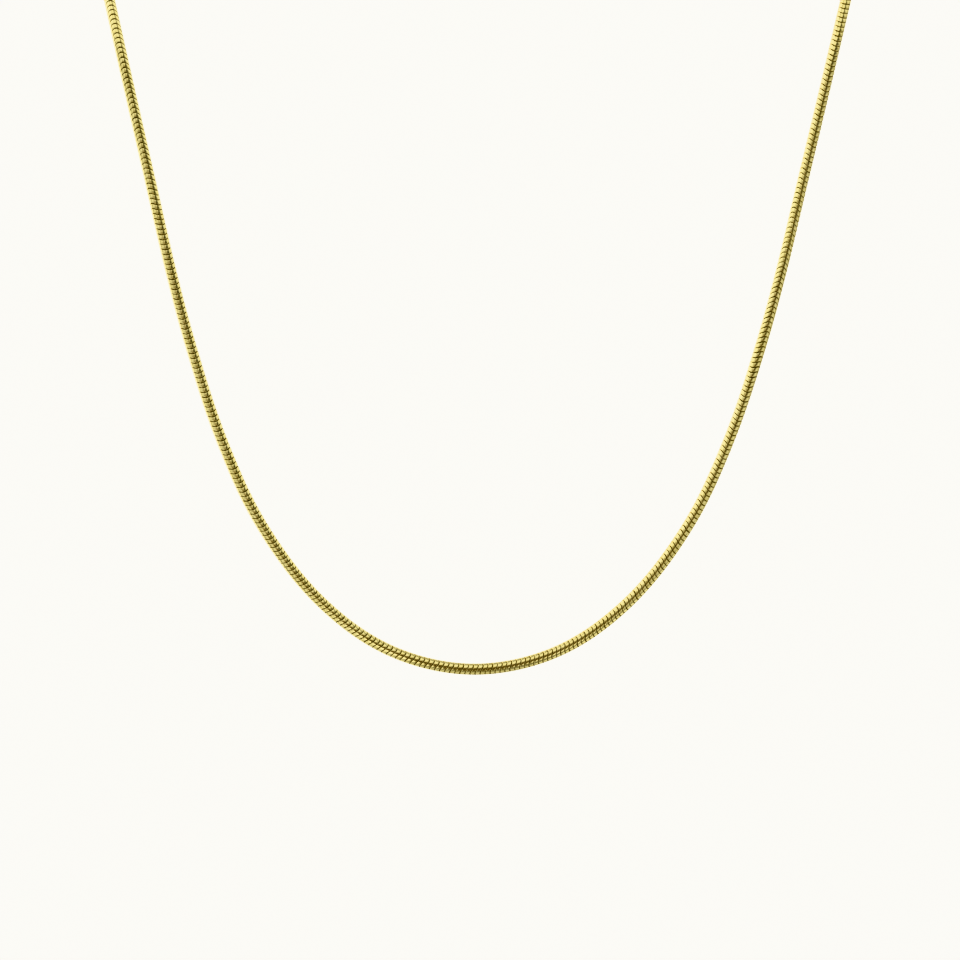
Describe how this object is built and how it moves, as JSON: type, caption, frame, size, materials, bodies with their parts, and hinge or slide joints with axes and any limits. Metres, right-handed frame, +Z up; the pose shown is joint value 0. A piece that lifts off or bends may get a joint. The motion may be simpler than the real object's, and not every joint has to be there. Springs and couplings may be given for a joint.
{
  "type": "snake chain necklace",
  "caption": "Slim round snake chain necklace, a closed loop in its worn form with a deep front curve and a plain barrel clasp at the nape; it can carry a pendant.",
  "frame": {"origin": "middle of the neck opening, level with the chain and clasp at the back of the neck, where the necklace hangs", "axes": "+Z up along the neck, -Y towards the front of the necklace, +X towards the wearer's left"},
  "size_m": [0.1156, 0.1112, 0.132],
  "materials": {
    "chain_gold": "polished, gold plated",
    "clasp_gold": "polished, gold plated"
  },
  "bodies": {
    "root": {"snake_chain": "chain_gold", "clasp": "clasp_gold"}
  },
  "joints": []
}
